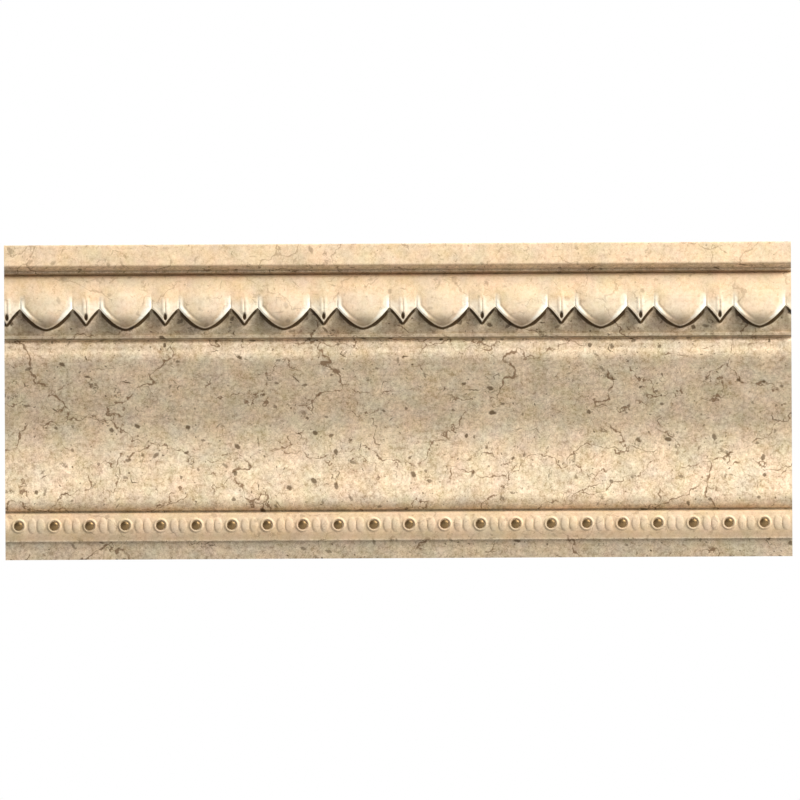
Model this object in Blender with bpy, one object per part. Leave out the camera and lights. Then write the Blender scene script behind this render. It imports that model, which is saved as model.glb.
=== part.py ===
# A cornice moulding length: a ceiling fillet, an ovolo carved with egg-and-dart, a deep cove,
# and an astragal carved with bead-and-reel above a plain foot, all one solid.
# Metres. X runs along the moulding, the face looks towards -Y, and the flat back lies on Y = 0
# with the origin at its middle. A point on the face is given by its place along the moulding,
# its depth out from the back and its level above the bottom edge.

import math

import bmesh
import bpy

# Overall sizes
MOULDING_LENGTH = 0.250
FACE_HEIGHT = 0.100
PROJECTION = 0.042

# Ceiling fillet and the soffit under it
TOP_EDGE_ROUND = 0.0004
TOP_FILLET_HEIGHT = 0.0068
TOP_FILLET_ROUND = 0.0006
SOFFIT_HEIGHT = 0.0016
SOFFIT_RUN = 0.0036
SOFFIT_STEP_HEIGHT = 0.0005
SOFFIT_RETURN_HEIGHT = 0.0008
SOFFIT_RETURN_RUN = 0.0022

# Ovolo: a band with a round shoulder under the soffit, which curls back in below its belly
SHOULDER_DROP = 0.0008
SHOULDER_PROUD = 0.0022
SHOULDER_ROUND = 0.0013
OVOLO_UPPER_HEIGHT = 0.0082
OVOLO_UPPER_FALL = 0.0006
OVOLO_LOWER_HEIGHT = 0.0079
OVOLO_CURL = 0.0026
OVOLO_CURL_POWER = 3.0

# Egg-and-dart carved in the ovolo, and the sunk ground below its scalloped edge. A dart's
# middle lies a shift to the right of the moulding's middle, and so does a bead's further down.
CARVING_MARGIN = 0.0015
CARVING_FADE = 0.0060
EGG_WIDTH = 0.0165
EGG_BULGE = 0.0007
EGG_EDGE_POWER = 1.6
DART_WIDTH = 0.00867
DART_FLARE = 1.3
DART_RIDGE = 0.0008
DART_SHIFT = 0.0016
NOTCH_RISE = 0.0064
DART_RISE = 0.0016
RIM_WIDTH = 0.0012
RIM_HEIGHT = 0.0004
HOLLOW_WIDTH = 0.0011
HOLLOW_RISE = 0.0020
HOLLOW_HEIGHT = 0.0026
HOLLOW_DEPTH = 0.0008
EDGE_WALL_HEIGHT = 0.0007
GROUND_MARGIN = 0.0013
GROUND_SINK = 0.0015
GROUND_LEAN = 0.0024

# Lip below the ground and the nose that starts the cove
LIP_TOP_HEIGHT = 0.0003
LIP_HEIGHT = 0.0008
LIP_PROUD = 0.0009
LIP_UNDERSIDE_HEIGHT = 0.0008
LIP_UNDERSIDE_RUN = 0.0022
NOSE_TOP_HEIGHT = 0.0015
NOSE_HEIGHT = 0.0037
NOSE_PROUD = 0.0013
NOSE_TOP_ROUND = 0.0015
NOSE_LOWER_ROUND = 0.0024

# Cove and the roll that ends it
COVE_PROJECTION = 0.0184
COVE_CORNER_HEIGHT = 0.0200
COVE_ROUND = 0.0085
ROLL_HEIGHT = 0.0018
ROLL_RUN = 0.0027
ROLL_ROUND = 0.0032
CREVICE_HEIGHT = 0.0006

# Astragal with bead-and-reel
ASTRAGAL_PROUD = 0.0056
ASTRAGAL_CURL = 0.0009
ASTRAGAL_TOP_ROUND = 0.0011
ASTRAGAL_UPPER_MARGIN = 0.00135
ASTRAGAL_LOWER_MARGIN = 0.0002
ASTRAGAL_SLOPE_HEIGHT = 0.0023
ASTRAGAL_SLOPE_RUN = 0.0009
BEAD_DIAMETER = 0.0042
BEAD_HEIGHT = 0.0009
BEAD_SHIFT = 0.0033
BEAD_GAP = 0.00084
REEL_WIDTH = 0.0027
REEL_HEIGHT = 0.0005
REEL_OVERHANG = 0.00035

# Foot on the wall
FOOT_HEIGHT = 0.00585
FOOT_PROJECTION = 0.0134
FOOT_BATTER = 0.0028
FOOT_STEP_HEIGHT = 0.0004

# How finely curves are cut into flats
ROUND_STEPS = 3
ROLL_STEPS = 5
COVE_STEPS = 8
CARVED_STEPS = 6
CLOSEST_COLUMNS = 0.00015
SMOOTH_ANGLE = math.radians(32)

# Levels above the bottom edge, added up from the foot
FOOT_TOP = FOOT_HEIGHT
ASTRAGAL_FACE_BOTTOM = FOOT_TOP + ASTRAGAL_SLOPE_HEIGHT
BEAD_BAND_BOTTOM = ASTRAGAL_FACE_BOTTOM + ASTRAGAL_LOWER_MARGIN
REEL_REACH = BEAD_DIAMETER / 2 + REEL_OVERHANG
BEAD_LEVEL = BEAD_BAND_BOTTOM + REEL_REACH
BEAD_BAND_TOP = BEAD_LEVEL + REEL_REACH
ASTRAGAL_TOP = BEAD_BAND_TOP + ASTRAGAL_UPPER_MARGIN
ROLL_BOTTOM = ASTRAGAL_TOP + CREVICE_HEIGHT
ROLL_CORNER = ROLL_BOTTOM + ROLL_HEIGHT
COVE_CORNER = ROLL_CORNER + COVE_CORNER_HEIGHT

# Levels counted down from the ceiling
TOP_FILLET_BOTTOM = FACE_HEIGHT - TOP_FILLET_HEIGHT
SOFFIT_BOTTOM = TOP_FILLET_BOTTOM - SOFFIT_HEIGHT
SOFFIT_STEP_BOTTOM = SOFFIT_BOTTOM - SOFFIT_STEP_HEIGHT
OVOLO_CREVICE = SOFFIT_STEP_BOTTOM - SOFFIT_RETURN_HEIGHT
SHOULDER = OVOLO_CREVICE - SHOULDER_DROP
OVOLO_BELLY = SHOULDER - OVOLO_UPPER_HEIGHT
EGG_BOTTOM = OVOLO_BELLY - OVOLO_LOWER_HEIGHT
CARVING_TOP = SHOULDER - CARVING_MARGIN
GROUND_BOTTOM = EGG_BOTTOM - EDGE_WALL_HEIGHT - GROUND_MARGIN
LIP_TOP = GROUND_BOTTOM - LIP_TOP_HEIGHT
LIP_BOTTOM = LIP_TOP - LIP_HEIGHT
NOSE_CREVICE = LIP_BOTTOM - LIP_UNDERSIDE_HEIGHT
NOSE_TOP = NOSE_CREVICE - NOSE_TOP_HEIGHT
NOSE_BOTTOM = NOSE_TOP - NOSE_HEIGHT

# Depths out from the back
SOFFIT_DEPTH = PROJECTION - SOFFIT_RUN
OVOLO_CREVICE_DEPTH = SOFFIT_DEPTH - SOFFIT_RETURN_RUN
SHOULDER_DEPTH = OVOLO_CREVICE_DEPTH + SHOULDER_PROUD
OVOLO_BELLY_DEPTH = SHOULDER_DEPTH + OVOLO_UPPER_FALL
GROUND_DEPTH = OVOLO_BELLY_DEPTH - OVOLO_CURL - GROUND_SINK
LIP_DEPTH = GROUND_DEPTH + LIP_PROUD
NOSE_CREVICE_DEPTH = LIP_DEPTH - LIP_UNDERSIDE_RUN
NOSE_DEPTH = NOSE_CREVICE_DEPTH + NOSE_PROUD
ROLL_CREVICE_DEPTH = COVE_PROJECTION - ROLL_RUN
ASTRAGAL_DEPTH = FOOT_PROJECTION + ASTRAGAL_PROUD
ASTRAGAL_SLOPE_DEPTH = ASTRAGAL_DEPTH - ASTRAGAL_CURL - ASTRAGAL_SLOPE_RUN

# Repeats along the moulding
EGG_PITCH = EGG_WIDTH + DART_WIDTH
BEAD_PITCH = BEAD_DIAMETER + 2 * REEL_WIDTH + 2 * BEAD_GAP

MARBLE_COLOUR = (0.81, 0.62, 0.41, 1.0)
MARBLE_ROUGHNESS = 0.5


def clear_scene():
    for old_object in list(bpy.data.objects):
        bpy.data.objects.remove(old_object)


def marble_material():
    material = bpy.data.materials.new("marble_finish")
    material.use_nodes = True
    shader = material.node_tree.nodes["Principled BSDF"]
    shader.inputs["Base Color"].default_value = MARBLE_COLOUR
    shader.inputs["Roughness"].default_value = MARBLE_ROUGHNESS
    shader.inputs["Metallic"].default_value = 0.0
    return material


# How far along from start to end a value lies, from 0 to 1, with soft ends
def smooth_share(value, start, end):
    share = min(max((value - start) / (end - start), 0.0), 1.0)
    return share * share * (3 - 2 * share)


# The height of a ridge with straight sides, 1 at its middle and 0 from half its width on
def tent(offset, width):
    return max(0.0, 1.0 - abs(offset) / (width / 2))


# The point that lies reach from one point towards another, and at most a limit share of the way
def point_towards(start, end, reach, limit):
    share = min(reach / math.dist(start, end), limit)
    return [start[axis] + (end[axis] - start[axis]) * share for axis in range(2)]


# The corner of an outline, as points on the curve that rounds it. The curve reaches the same
# way along both sides, and never past the middle of a side, unless that side's limit is 1.
def rounded(before, corner, after, reach, steps=ROUND_STEPS, limit_after=0.5):
    start = point_towards(corner, before, reach, 0.5)
    end = point_towards(corner, after, reach, limit_after)
    points = []
    for step in range(steps + 1):
        along = step / steps
        weights = ((1 - along) ** 2, 2 * along * (1 - along), along ** 2)
        points.append(tuple(
            weights[0] * start[axis] + weights[1] * corner[axis] + weights[2] * end[axis]
            for axis in range(2)
        ))
    return points


# Where a pattern's columns of points fall: the offsets repeat at each pitch and are cut off
# square at both ends of the moulding
def repeated_columns(offsets, pitch, shift):
    half_length = MOULDING_LENGTH / 2
    repeats = math.ceil(half_length / pitch) + 1
    places = sorted(
        shift + repeat * pitch + offset
        for repeat in range(-repeats, repeats + 1)
        for offset in offsets
    )
    columns = [-half_length]
    for place in places:
        if place - columns[-1] > CLOSEST_COLUMNS and half_length - place > CLOSEST_COLUMNS:
            columns.append(place)
    columns.append(half_length)
    return columns


# How far a place along the moulding is from the middle of its nearest repeat
def from_middle(place, pitch, shift):
    return (place - shift + pitch / 2) % pitch - pitch / 2


def egg_columns():
    egg_half = EGG_WIDTH / 2
    dart_half = DART_WIDTH / 2
    one_side = [egg_half * share for share in (0.0, 0.28, 0.54, 0.74)]
    one_side += [egg_half - RIM_WIDTH, egg_half - RIM_WIDTH / 2, egg_half]
    one_side += [egg_half + RIM_WIDTH / 2, egg_half + dart_half * 0.45]
    one_side += [egg_half + dart_half - HOLLOW_WIDTH / 2, egg_half + dart_half]
    offsets = {side * offset for offset in one_side for side in (-1, 1)}
    return repeated_columns(offsets, EGG_PITCH, DART_SHIFT + EGG_PITCH / 2)


def bead_columns():
    bead_half = BEAD_DIAMETER / 2
    reel_start = bead_half + BEAD_GAP
    one_side = [0.0, bead_half * math.sqrt(0.5), bead_half, reel_start, reel_start + REEL_WIDTH / 2]
    one_side += [reel_start + REEL_WIDTH]
    offsets = {side * offset for offset in one_side for side in (-1, 1)}
    return repeated_columns(offsets, BEAD_PITCH, BEAD_SHIFT)


def plain_columns():
    return repeated_columns([0.0], EGG_PITCH, DART_SHIFT)


# The ovolo before it is carved: nearly upright down to the belly, then ever steeper inwards
def ovolo_depth(level):
    if level > OVOLO_BELLY:
        share = (level - OVOLO_BELLY) / OVOLO_UPPER_HEIGHT
        return OVOLO_BELLY_DEPTH - OVOLO_UPPER_FALL * share ** 2
    share = (OVOLO_BELLY - level) / OVOLO_LOWER_HEIGHT
    return OVOLO_BELLY_DEPTH - OVOLO_CURL * share ** OVOLO_CURL_POWER


# The scalloped lower edge: round under each egg, and flaring up from a point under each dart
def scallop_level(place):
    from_egg = abs(from_middle(place, EGG_PITCH, DART_SHIFT + EGG_PITCH / 2))
    egg_half = EGG_WIDTH / 2
    if from_egg < egg_half:
        return EGG_BOTTOM + NOTCH_RISE * (from_egg / egg_half) ** EGG_EDGE_POWER
    from_notch = (from_egg - egg_half) / (DART_WIDTH / 2)
    return EGG_BOTTOM + NOTCH_RISE + (DART_RISE - NOTCH_RISE) * from_notch ** DART_FLARE


# What the carving adds to the ovolo: the eggs' swell, the raised rims on both sides of each
# notch, the darts' ridges and the hollow near each dart's point
def carving_relief(place, level):
    from_egg = abs(from_middle(place, EGG_PITCH, DART_SHIFT + EGG_PITCH / 2))
    egg_half = EGG_WIDTH / 2
    from_dart = EGG_PITCH / 2 - from_egg
    if from_egg < egg_half:
        relief = EGG_BULGE * (1 - (from_egg / egg_half) ** 2)
    else:
        relief = DART_RIDGE * (1 - from_dart / (DART_WIDTH / 2))
    relief += RIM_HEIGHT * tent(abs(from_egg - egg_half) - RIM_WIDTH / 2, RIM_WIDTH)
    hollow_level = EGG_BOTTOM + DART_RISE + HOLLOW_RISE
    hollow = tent(from_dart, HOLLOW_WIDTH) * tent(level - hollow_level, HOLLOW_HEIGHT)
    faded = smooth_share(CARVING_TOP - level, 0.0, CARVING_FADE)
    return relief * faded - HOLLOW_DEPTH * hollow


def ground_depth(level):
    return GROUND_DEPTH + GROUND_LEAN * (level - GROUND_BOTTOM) / NOTCH_RISE


# Rows of points down the egg-and-dart, from the plain ovolo to the bottom of the ground
def egg_and_dart_rows():
    columns = egg_columns()
    rows = []
    for step in range(CARVED_STEPS + 1):
        share = step / CARVED_STEPS
        row = []
        for place in columns:
            level = CARVING_TOP + (scallop_level(place) - CARVING_TOP) * share
            depth = ovolo_depth(level) + carving_relief(place, level)
            row.append((place, depth, level))
        rows.append(row)
    wall_foot = []
    for place in columns:
        level = scallop_level(place) - EDGE_WALL_HEIGHT
        wall_foot.append((place, ground_depth(level), level))
    rows.append(wall_foot)
    rows.append([(place, GROUND_DEPTH, GROUND_BOTTOM) for place in columns])
    return rows


# The astragal's face: upright at the top of the bead band and curving inwards below it
def astragal_depth(level):
    share = (BEAD_BAND_TOP - level) / (BEAD_BAND_TOP - ASTRAGAL_FACE_BOTTOM)
    return ASTRAGAL_DEPTH - ASTRAGAL_CURL * share ** 2


# What the bead-and-reel adds: a low dome for each bead and two upright leaf shapes between
def bead_relief(place, level):
    from_bead = abs(from_middle(place, BEAD_PITCH, BEAD_SHIFT))
    from_level = abs(level - BEAD_LEVEL)
    bead_half = BEAD_DIAMETER / 2
    dome = max(0.0, 1 - (math.hypot(from_bead, from_level) / bead_half) ** 2)
    reel_middle = bead_half + BEAD_GAP + REEL_WIDTH / 2
    leaf = max(0.0, 1 - (from_level / REEL_REACH) ** 2)
    return BEAD_HEIGHT * math.sqrt(dome) + REEL_HEIGHT * leaf * tent(from_bead - reel_middle, REEL_WIDTH)


def bead_and_reel_rows():
    columns = bead_columns()
    bead_half = BEAD_DIAMETER / 2
    one_side = [REEL_REACH, bead_half, bead_half * math.sqrt(0.5)]
    offsets = one_side + [0.0] + [-offset for offset in reversed(one_side)]
    rows = []
    for offset in offsets:
        level = BEAD_LEVEL + offset
        row = [(place, astragal_depth(level) + bead_relief(place, level), level) for place in columns]
        rows.append(row)
    return rows


# The plain stretches of the profile, as lists of (depth, level) from the ceiling down
def ceiling_profile():
    top = (PROJECTION, FACE_HEIGHT)
    fillet = (PROJECTION, TOP_FILLET_BOTTOM)
    soffit = (SOFFIT_DEPTH, SOFFIT_BOTTOM)
    profile = rounded((0.0, FACE_HEIGHT), top, fillet, TOP_EDGE_ROUND)
    profile += rounded(top, fillet, soffit, TOP_FILLET_ROUND)
    crevice = (OVOLO_CREVICE_DEPTH, OVOLO_CREVICE)
    carving_top = (ovolo_depth(CARVING_TOP), CARVING_TOP)
    profile += [soffit, (SOFFIT_DEPTH, SOFFIT_STEP_BOTTOM), crevice]
    profile += rounded(crevice, (SHOULDER_DEPTH, SHOULDER), carving_top, SHOULDER_ROUND)
    return profile


def cove_profile():
    nose_crevice = (NOSE_CREVICE_DEPTH, NOSE_CREVICE)
    nose_top = (NOSE_DEPTH, NOSE_TOP)
    nose_bottom = (NOSE_DEPTH, NOSE_BOTTOM)
    cove_corner = (COVE_PROJECTION, COVE_CORNER)
    roll_corner = (COVE_PROJECTION, ROLL_CORNER)
    roll_crevice = (ROLL_CREVICE_DEPTH, ROLL_BOTTOM)
    astragal_top = (ASTRAGAL_DEPTH, ASTRAGAL_TOP)
    bead_band_top = (ASTRAGAL_DEPTH, BEAD_BAND_TOP)
    astragal_crevice = (ROLL_CREVICE_DEPTH, ASTRAGAL_TOP + CREVICE_HEIGHT / 2)
    profile = [(LIP_DEPTH, LIP_TOP), (LIP_DEPTH, LIP_BOTTOM), nose_crevice]
    profile += rounded(nose_crevice, nose_top, nose_bottom, NOSE_TOP_ROUND)
    profile += rounded(nose_top, nose_bottom, cove_corner, NOSE_LOWER_ROUND)
    profile += rounded(nose_bottom, cove_corner, roll_corner, COVE_ROUND, COVE_STEPS)
    profile += rounded(cove_corner, roll_corner, roll_crevice, ROLL_ROUND, ROLL_STEPS, 1.0)
    profile.append(astragal_crevice)
    profile += rounded(astragal_crevice, astragal_top, bead_band_top, ASTRAGAL_TOP_ROUND)
    return profile


def foot_profile():
    return [
        (astragal_depth(ASTRAGAL_FACE_BOTTOM), ASTRAGAL_FACE_BOTTOM),
        (ASTRAGAL_SLOPE_DEPTH, FOOT_TOP),
        (FOOT_PROJECTION + FOOT_BATTER, FOOT_TOP - FOOT_STEP_HEIGHT),
        (FOOT_PROJECTION, 0.0),
    ]


def plain_rows(profile):
    columns = plain_columns()
    return [[(place, depth, level) for place in columns] for depth, level in profile]


def end_row(depth, level):
    half_length = MOULDING_LENGTH / 2
    return [(-half_length, depth, level), (half_length, depth, level)]


# All rows round the moulding, from the back's top edge over the face to the back's bottom edge
def moulding_rows():
    rows = [end_row(0.0, FACE_HEIGHT)]
    rows += plain_rows(ceiling_profile())
    rows += egg_and_dart_rows()
    rows += plain_rows(cove_profile())
    rows += bead_and_reel_rows()
    rows += plain_rows(foot_profile())
    rows.append(end_row(0.0, 0.0))
    return rows


# Faces between two rows with the same columns: each square is split along its shorter diagonal
def fill_matching_rows(mesh, upper, lower):
    for left, right in zip(range(len(upper) - 1), range(1, len(upper))):
        falling = (upper[left].co - lower[right].co).length
        rising = (lower[left].co - upper[right].co).length
        if falling < rising:
            mesh.faces.new((upper[left], lower[left], lower[right]))
            mesh.faces.new((upper[left], lower[right], upper[right]))
        else:
            mesh.faces.new((upper[left], lower[left], upper[right]))
            mesh.faces.new((lower[left], lower[right], upper[right]))


# Faces between two straight rows with different columns, always stepping on where less is done
def fill_straight_rows(mesh, upper, lower):
    at_upper = 0
    at_lower = 0
    while at_upper < len(upper) - 1 or at_lower < len(lower) - 1:
        upper_left = len(upper) - 1 - at_upper
        lower_left = len(lower) - 1 - at_lower
        step_upper = lower_left == 0
        if upper_left and lower_left:
            step_upper = upper[at_upper + 1].co.x < lower[at_lower + 1].co.x
        if step_upper:
            mesh.faces.new((upper[at_upper], lower[at_lower], upper[at_upper + 1]))
            at_upper += 1
        else:
            mesh.faces.new((upper[at_upper], lower[at_lower], lower[at_lower + 1]))
            at_lower += 1


def moulding_mesh():
    mesh = bmesh.new()
    rows = []
    for row in moulding_rows():
        rows.append([
            mesh.verts.new((place, -depth, level - FACE_HEIGHT / 2)) for place, depth, level in row
        ])
    for upper, lower in zip(rows, rows[1:]):
        if len(upper) == len(lower):
            fill_matching_rows(mesh, upper, lower)
        else:
            fill_straight_rows(mesh, upper, lower)
    fill_matching_rows(mesh, rows[-1], rows[0])
    mesh.faces.new([row[0] for row in rows])
    mesh.faces.new([row[-1] for row in rows])
    bmesh.ops.recalc_face_normals(mesh, faces=mesh.faces)
    return mesh


def build_moulding():
    mesh = moulding_mesh()
    data = bpy.data.meshes.new("cornice_moulding")
    mesh.to_mesh(data)
    mesh.free()
    data.materials.append(marble_material())
    data.shade_smooth()
    data.set_sharp_from_angle(angle=SMOOTH_ANGLE)
    moulding = bpy.data.objects.new("cornice_moulding", data)
    bpy.context.scene.collection.objects.link(moulding)


clear_scene()
build_moulding()
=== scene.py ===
import math

import bmesh
import bpy
import numpy as np
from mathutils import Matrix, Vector


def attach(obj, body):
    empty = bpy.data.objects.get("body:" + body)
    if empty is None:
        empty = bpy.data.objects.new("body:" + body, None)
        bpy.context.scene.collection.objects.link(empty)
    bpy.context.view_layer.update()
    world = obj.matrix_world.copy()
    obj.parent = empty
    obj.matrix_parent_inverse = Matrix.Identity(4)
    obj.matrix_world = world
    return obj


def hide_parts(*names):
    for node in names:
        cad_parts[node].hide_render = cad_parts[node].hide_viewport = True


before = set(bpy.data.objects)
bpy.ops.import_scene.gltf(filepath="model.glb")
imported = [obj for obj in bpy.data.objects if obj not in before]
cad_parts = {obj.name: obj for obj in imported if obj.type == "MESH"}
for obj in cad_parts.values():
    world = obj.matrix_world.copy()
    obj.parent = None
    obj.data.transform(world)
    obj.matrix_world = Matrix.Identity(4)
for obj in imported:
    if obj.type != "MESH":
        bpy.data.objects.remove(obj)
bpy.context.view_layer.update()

# A cornice moulding length: a printed marble skin over a foamed core, with egg-and-dart in its
# ovolo and bead-and-reel on its astragal. Sizes in the dictionaries are in millimetres.
# A point of the face has its place along the moulding, depth out from the back and level above
# the bottom edge. The face looks towards -Y and the flat back lies on Y = 0.

mm = 0.001
scene = bpy.context.scene

moulding = {
    "length": 250.0,
    "height": 100.0,
    "projection": 42.0,
    "topEdgeRound": 0.4,
    "roundSteps": 8,          # faces across a small rounded edge
    "smoothAngle": 38.0,      # degrees; a steeper edge is shaded sharp
    "closestColumns": 0.05,
    "plainColumns": 11,
}

fillet = {
    "height": 6.8,
    "edgeRound": 0.6,
    "soffitHeight": 1.6,
    "soffitRun": 3.6,
    "stepHeight": 0.5,
    "returnHeight": 0.8,
    "returnRun": 2.2,
}

ovolo = {
    "shoulderDrop": 0.8,
    "shoulderProud": 2.2,
    "shoulderRound": 1.3,
    "upperHeight": 8.2,
    "upperFall": 0.6,
    "lowerHeight": 7.9,
    "curl": 2.6,
    "curlPower": 3.0,
    "carvingMargin": 1.5,
    "carvingFade": 6.0,
}

eggAndDart = {
    "eggWidth": 16.5,
    "eggBulge": 0.7,
    "eggEdgePower": 1.6,
    "dartWidth": 8.67,
    "dartFlare": 1.3,
    "dartShift": 1.6,         # a dart's middle lies this far right of the moulding's middle
    "dartSwell": 0.5,
    "notchRise": 6.4,
    "dartRise": 1.6,
    "stemTop": 4.5,           # how far the groove above each notch runs up
    "stemDepth": 0.13,
    "rimCrest": 0.45,         # from the outline to the crest of its raised rim
    "eggRimWidth": 1.2,
    "eggRimHeight": 0.12,
    "eggBottomRimHeight": 0.03,
    "dartRimWidth": 0.8,
    "dartRimHeight": 0.06,
    "shellGroove": 0.1,      # the groove between an egg and the rim round it
    "reedRise": 6.7,          # the dart's pair of upright reeds: their middle above the eggs' bottom
    "reedHalfHeight": 3.3,
    "reedPlace": 0.68,
    "reedHalfWidth": 0.55,
    "reedHeight": 0.12,
    "reedGroove": 0.12,
    "hollowRise": 3.6,        # the dark hollow under the reeds
    "hollowHalfHeight": 1.25,
    "hollowHalfWidth": 0.62,
    "hollowDepth": 0.8,
    "wallHeight": 0.7,
    "groundMargin": 1.3,
    "groundSink": 1.5,
    "groundLean": 2.4,
}

lipAndNose = {
    "lipTopHeight": 0.3,
    "lipHeight": 0.8,
    "lipProud": 0.9,
    "undersideHeight": 0.8,
    "undersideRun": 2.2,
    "noseTopHeight": 1.5,
    "noseHeight": 3.7,
    "noseProud": 1.3,
    "noseTopRound": 1.5,
    "noseLowerRound": 2.4,
}

cove = {
    "projection": 18.4,
    "cornerHeight": 20.0,
    "round": 8.5,
    "roundSteps": 20,
    "rollHeight": 1.8,
    "rollRun": 2.7,
    "rollRound": 3.2,
    "creviceHeight": 0.6,
}

astragal = {
    "proud": 5.6,
    "curl": 0.9,
    "topRound": 1.1,
    "upperMargin": 1.35,
    "lowerMargin": 0.2,
    "slopeHeight": 2.3,
    "slopeRun": 0.9,
}

beadAndReel = {
    "beadDiameter": 4.2,
    "beadShift": 3.3,         # a bead's middle lies this far right of the moulding's middle
    "beadGap": 0.84,
    "reelWidth": 2.7,
    "reelOverhang": 0.35,
    "reelHeight": 0.25,
    "reelPower": 4.0,         # a higher power gives a flatter crest with steeper sides
    "ringRadius": 1.86,
    "ringHalfWidth": 0.5,
    "ringHeight": 0.3,
    "pearlRadius": 1.42,      # the gilt pearl inside the ring
    "pearlHeight": 0.8,
    "pearlSeat": 0.15,
}

foot = {
    "height": 5.85,
    "projection": 13.4,
    "batter": 2.8,
    "stepHeight": 0.4,
}

# Levels above the bottom edge, added up from the foot and counted down from the ceiling
footTop = foot["height"]
astragalFaceBottom = footTop + astragal["slopeHeight"]
beadBandBottom = astragalFaceBottom + astragal["lowerMargin"]
reelReach = beadAndReel["beadDiameter"] / 2 + beadAndReel["reelOverhang"]
beadLevel = beadBandBottom + reelReach
beadBandTop = beadLevel + reelReach
astragalTop = beadBandTop + astragal["upperMargin"]
rollBottom = astragalTop + cove["creviceHeight"]
rollCorner = rollBottom + cove["rollHeight"]
coveCorner = rollCorner + cove["cornerHeight"]
filletBottom = moulding["height"] - fillet["height"]
soffitBottom = filletBottom - fillet["soffitHeight"]
stepBottom = soffitBottom - fillet["stepHeight"]
ovoloCrevice = stepBottom - fillet["returnHeight"]
shoulder = ovoloCrevice - ovolo["shoulderDrop"]
belly = shoulder - ovolo["upperHeight"]
eggBottom = belly - ovolo["lowerHeight"]
carvingTop = shoulder - ovolo["carvingMargin"]
notchLevel = eggBottom + eggAndDart["notchRise"]
groundBottom = eggBottom - eggAndDart["wallHeight"] - eggAndDart["groundMargin"]
lipTop = groundBottom - lipAndNose["lipTopHeight"]
lipBottom = lipTop - lipAndNose["lipHeight"]
noseCrevice = lipBottom - lipAndNose["undersideHeight"]
noseTop = noseCrevice - lipAndNose["noseTopHeight"]
noseBottom = noseTop - lipAndNose["noseHeight"]

# Depths out from the back
soffitDepth = moulding["projection"] - fillet["soffitRun"]
ovoloCreviceDepth = soffitDepth - fillet["returnRun"]
shoulderDepth = ovoloCreviceDepth + ovolo["shoulderProud"]
bellyDepth = shoulderDepth + ovolo["upperFall"]
groundFootDepth = bellyDepth - ovolo["curl"] - eggAndDart["groundSink"]
lipDepth = groundFootDepth + lipAndNose["lipProud"]
noseCreviceDepth = lipDepth - lipAndNose["undersideRun"]
noseDepth = noseCreviceDepth + lipAndNose["noseProud"]
rollCreviceDepth = cove["projection"] - cove["rollRun"]
astragalFaceDepth = foot["projection"] + astragal["proud"]
astragalSlopeDepth = astragalFaceDepth - astragal["curl"] - astragal["slopeRun"]

# Repeats along the moulding
eggPitch = eggAndDart["eggWidth"] + eggAndDart["dartWidth"]
eggMiddle = eggAndDart["dartShift"] + eggPitch / 2
beadPitch = beadAndReel["beadDiameter"] + 2 * beadAndReel["reelWidth"] + 2 * beadAndReel["beadGap"]
beadMiddle = beadAndReel["beadShift"]


def smoothShare(value, start, end):
    share = np.clip((value - start) / (end - start), 0.0, 1.0)
    return share * share * (3 - 2 * share)


def fromMiddle(place, pitch, middle):
    return (place - middle + pitch / 2) % pitch - pitch / 2


# The ovolo before it is carved: nearly upright down to the belly, then ever steeper inwards
def ovoloDepth(level):
    up = (level - belly) / ovolo["upperHeight"]
    down = np.maximum(belly - level, 0.0) / ovolo["lowerHeight"]
    upper = bellyDepth - ovolo["upperFall"] * up ** 2
    lower = bellyDepth - ovolo["curl"] * down ** ovolo["curlPower"]
    return np.where(level > belly, upper, lower)


# The scalloped lower edge: round under each egg, and flaring up from a point under each dart
def scallopLevel(offset):
    fromEgg = np.abs(fromMiddle(offset, eggPitch, 0.0))
    eggHalf = eggAndDart["eggWidth"] / 2
    underEgg = eggBottom + eggAndDart["notchRise"] * (fromEgg / eggHalf) ** eggAndDart["eggEdgePower"]
    fromNotch = np.maximum(fromEgg - eggHalf, 0.0) / (eggAndDart["dartWidth"] / 2)
    fall = (eggAndDart["notchRise"] - eggAndDart["dartRise"]) * fromNotch ** eggAndDart["dartFlare"]
    return np.where(fromEgg < eggHalf, underEgg, notchLevel - fall)


def groundDepth(level):
    return groundFootDepth + eggAndDart["groundLean"] * (level - groundBottom) / eggAndDart["notchRise"]


def astragalDepth(level):
    share = (beadBandTop - level) / (beadBandTop - astragalFaceBottom)
    return astragalFaceDepth - astragal["curl"] * share ** 2


# How far points are from the carved outline: the scalloped edge and the stem above each notch
def outlineDistance(offset, level):
    along = np.linspace(-eggPitch, eggPitch, 1200)
    outline = np.stack([along, scallopLevel(along)], 1)
    stem = np.linspace(notchLevel, notchLevel + eggAndDart["stemTop"], 60)
    for side in (-1, 1):
        notch = side * eggAndDart["eggWidth"] / 2
        outline = np.vstack([outline, np.stack([np.full_like(stem, notch), stem], 1)])
    wrapped = fromMiddle(offset, eggPitch, 0.0)
    points = np.stack([wrapped.ravel(), level.ravel()], 1)
    nearest = np.empty(len(points))
    for start in range(0, len(points), 4000):
        part = points[start:start + 4000]
        apart = np.hypot(part[:, None, 0] - outline[None, :, 0], part[:, None, 1] - outline[None, :, 1])
        nearest[start:start + 4000] = apart.min(1)
    return nearest.reshape(level.shape)


# A bump's height, 1 at its middle and 0 from its half width on
def bump(offset, halfWidth):
    return np.clip(1 - (offset / halfWidth) ** 2, 0.0, 1.0)


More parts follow.
